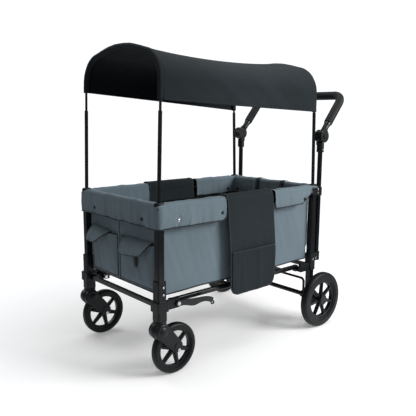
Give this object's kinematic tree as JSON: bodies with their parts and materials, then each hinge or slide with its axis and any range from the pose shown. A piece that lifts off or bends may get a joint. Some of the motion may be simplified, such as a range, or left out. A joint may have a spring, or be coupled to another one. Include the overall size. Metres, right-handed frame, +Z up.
{
  "type": "kids pull wagon",
  "caption": "Folding two-seat children's wagon with a fabric tub, padded rim, arched canopy on four poles, swivel casters and a tilting push handle.",
  "frame": {"origin": "on the ground under the middle of the wagon's overall length and width", "axes": "+X towards the push handle (rear), -Y the near side seen in the picture, +Z up"},
  "size_m": [1.1601, 0.708, 1.2547],
  "materials": {
    "black_frame": "gloss black powder coat",
    "black_plastic": "satin moulded nylon",
    "tyre_rubber": "matt rubber",
    "grip_foam": "soft foam",
    "bright_steel": "bright zinc",
    "body_fabric": "woven polyester",
    "dark_fabric": "woven polyester"
  },
  "bodies": {
    "rear_frame": {"rear_posts": "black_frame", "rear_cross_bars": "black_frame", "rear_axle_bar": "black_frame", "rear_axle_brackets": "black_plastic", "rear_wheel_axles": "bright_steel", "rear_rail_brackets": "black_plastic", "rear_rail_pins": "bright_steel", "rear_corner_caps": "black_plastic", "rear_canopy_poles": "black_frame", "handle_brackets": "black_plastic", "handle_uprights": "black_frame", "handle_sockets": "black_plastic", "bracket_screws": "bright_steel", "rear_wall": "body_fabric", "rear_rim_pad": "body_fabric", "tub_sides_and_floor": "body_fabric", "side_rim_pads": "body_fabric", "side_flaps": "dark_fabric"},
    "rear_floor_half": {"rear_floor_rails": "black_frame"},
    "front_floor_half": {"front_floor_rails": "black_frame"},
    "front_frame": {"front_posts": "black_frame", "front_cross_bars": "black_frame", "caster_sleeves": "black_plastic", "front_rail_brackets": "black_plastic", "front_rail_pins": "bright_steel", "front_corner_caps": "black_plastic", "front_canopy_poles": "black_frame", "sleeve_rivets": "bright_steel", "front_wall": "body_fabric", "front_rim_pad": "body_fabric", "front_pockets": "body_fabric"},
    "rear_side_rails": {"rear_side_rails": "black_frame"},
    "side_rail_joints": {"side_rail_joints": "black_plastic"},
    "front_side_rails": {"front_side_rails": "black_frame"},
    "rear_floor_mat": {"rear_floor_mat": "dark_fabric"},
    "front_floor_mat": {"front_floor_mat": "dark_fabric"},
    "push_handle": {"handle_bar": "black_frame", "handle_grip": "grip_foam", "handle_collars": "black_frame", "handle_arms": "black_plastic"},
    "near_handle_button": {"near_handle_button": "black_plastic"},
    "far_handle_button": {"far_handle_button": "black_plastic"},
    "foot_brake": {"brake_bar": "black_frame", "brake_pedal": "black_plastic"},
    "near_caster": {"near_caster_fork": "black_plastic", "near_caster_hardware": "bright_steel"},
    "far_caster": {"far_caster_fork": "black_plastic", "far_caster_hardware": "bright_steel"},
    "front_near_wheel": {"front_near_tyre": "tyre_rubber", "front_near_rim": "black_plastic"},
    "front_far_wheel": {"front_far_tyre": "tyre_rubber", "front_far_rim": "black_plastic"},
    "rear_near_wheel": {"rear_near_tyre": "tyre_rubber", "rear_near_rim": "black_plastic"},
    "rear_far_wheel": {"rear_far_tyre": "tyre_rubber", "rear_far_rim": "black_plastic"},
    "fold_latch": {"fold_latch": "black_frame"},
    "front_hoop": {"front_canopy_hoop": "black_frame"},
    "rear_hoop": {"rear_canopy_hoop": "black_frame", "canopy": "dark_fabric"}
  },
  "joints": [
    {"name": "fold", "type": "hinge", "parent": "rear_frame", "child": "rear_floor_half", "pos_m": [0.29064, 0, 0.27], "axis": [0, 1, 0], "range_deg": [0, 78], "deforming": ["tub_sides_and_floor", "side_rim_pads", "side_flaps", "canopy"]},
    {"name": "floor_middle", "type": "hinge", "parent": "rear_floor_half", "child": "front_floor_half", "pos_m": [-0.08936, 0, 0.27], "axis": [0, 1, 0], "range_deg": [-156, 0]},
    {"name": "front_floor_pivot", "type": "hinge", "parent": "front_floor_half", "child": "front_frame", "pos_m": [-0.46936, 0, 0.27], "axis": [0, 1, 0], "range_deg": [0, 78]},
    {"name": "rear_side_pivot", "type": "hinge", "parent": "rear_frame", "child": "rear_side_rails", "pos_m": [0.32064, 0, 0.64], "axis": [0, 1, 0], "range_deg": [-78, 0]},
    {"name": "side_joint_rear_pin", "type": "hinge", "parent": "rear_side_rails", "child": "side_rail_joints", "pos_m": [-0.05936, 0, 0.64], "axis": [0, 1, 0], "range_deg": [0, 78]},
    {"name": "side_joint_front_pin", "type": "hinge", "parent": "side_rail_joints", "child": "front_side_rails", "pos_m": [-0.11936, 0, 0.64], "axis": [0, 1, 0], "range_deg": [0, 78]},
    {"name": "rear_mat_hinge", "type": "hinge", "parent": "rear_frame", "child": "rear_floor_mat", "pos_m": [0.30964, 0, 0.332], "axis": [0, 1, 0], "range_deg": [0, 78]},
    {"name": "front_mat_hinge", "type": "hinge", "parent": "front_frame", "child": "front_floor_mat", "pos_m": [-0.48836, 0, 0.332], "axis": [0, 1, 0], "range_deg": [-78, 0]},
    {"name": "handle_tilt", "type": "hinge", "parent": "rear_frame", "child": "push_handle", "pos_m": [0.40064, 0, 0.893], "axis": [0, 1, 0], "range_deg": [-30, 75]},
    {"name": "near_button_press", "type": "slide", "parent": "push_handle", "child": "near_handle_button", "axis": [0, 1, 0], "range_m": [0, 0.004], "stiffness_N_per_m": 800, "springref_m": -0.001},
    {"name": "far_button_press", "type": "slide", "parent": "push_handle", "child": "far_handle_button", "axis": [0, -1, 0], "range_m": [0, 0.004], "stiffness_N_per_m": 800, "springref_m": -0.001},
    {"name": "foot_brake", "type": "hinge", "parent": "rear_frame", "child": "foot_brake", "pos_m": [0.35464, 0, 0.13], "axis": [0, 1, 0], "range_deg": [0, 25]},
    {"name": "near_caster_swivel", "type": "hinge", "parent": "front_frame", "child": "near_caster", "pos_m": [-0.53336, -0.263, 0.2], "axis": [0, 0, 1], "continuous": true},
    {"name": "far_caster_swivel", "type": "hinge", "parent": "front_frame", "child": "far_caster", "pos_m": [-0.53336, 0.263, 0.2], "axis": [0, 0, 1], "continuous": true},
    {"name": "front_near_wheel_spin", "type": "hinge", "parent": "near_caster", "child": "front_near_wheel", "pos_m": [-0.46736, -0.263, 0.1], "axis": [0, 1, 0], "continuous": true},
    {"name": "front_far_wheel_spin", "type": "hinge", "parent": "far_caster", "child": "front_far_wheel", "pos_m": [-0.46736, 0.263, 0.1], "axis": [0, 1, 0], "continuous": true},
    {"name": "rear_near_wheel_spin", "type": "hinge", "parent": "rear_frame", "child": "rear_near_wheel", "pos_m": [0.35464, -0.331, 0.13], "axis": [0, 1, 0], "continuous": true},
    {"name": "rear_far_wheel_spin", "type": "hinge", "parent": "rear_frame", "child": "rear_far_wheel", "pos_m": [0.35464, 0.331, 0.13], "axis": [0, 1, 0], "continuous": true},
    {"name": "latch_swing", "type": "hinge", "parent": "front_frame", "child": "fold_latch", "pos_m": [-0.45736, -0.28, 0.28], "axis": [0, 1, 0], "range_deg": [0, 40]},
    {"name": "front_hoop_height", "type": "slide", "parent": "front_frame", "child": "front_hoop", "axis": [0.03, 0, 0.9996], "range_m": [-0.07, 0]},
    {"name": "rear_hoop_height", "type": "slide", "parent": "rear_frame", "child": "rear_hoop", "axis": [-0.03, 0, 0.9996], "range_m": [-0.07, 0]}
  ],
  "couplings": [
    {"joint": "floor_middle", "follows": "fold", "ratio": -2},
    {"joint": "front_floor_pivot", "follows": "fold", "ratio": 1},
    {"joint": "rear_side_pivot", "follows": "fold", "ratio": -1},
    {"joint": "side_joint_rear_pin", "follows": "fold", "ratio": 1},
    {"joint": "side_joint_front_pin", "follows": "fold", "ratio": 1},
    {"joint": "rear_mat_hinge", "follows": "fold", "ratio": 1},
    {"joint": "front_mat_hinge", "follows": "fold", "ratio": -1},
    {"joint": "front_hoop_height", "follows": "rear_hoop_height", "ratio": 1}
  ]
}
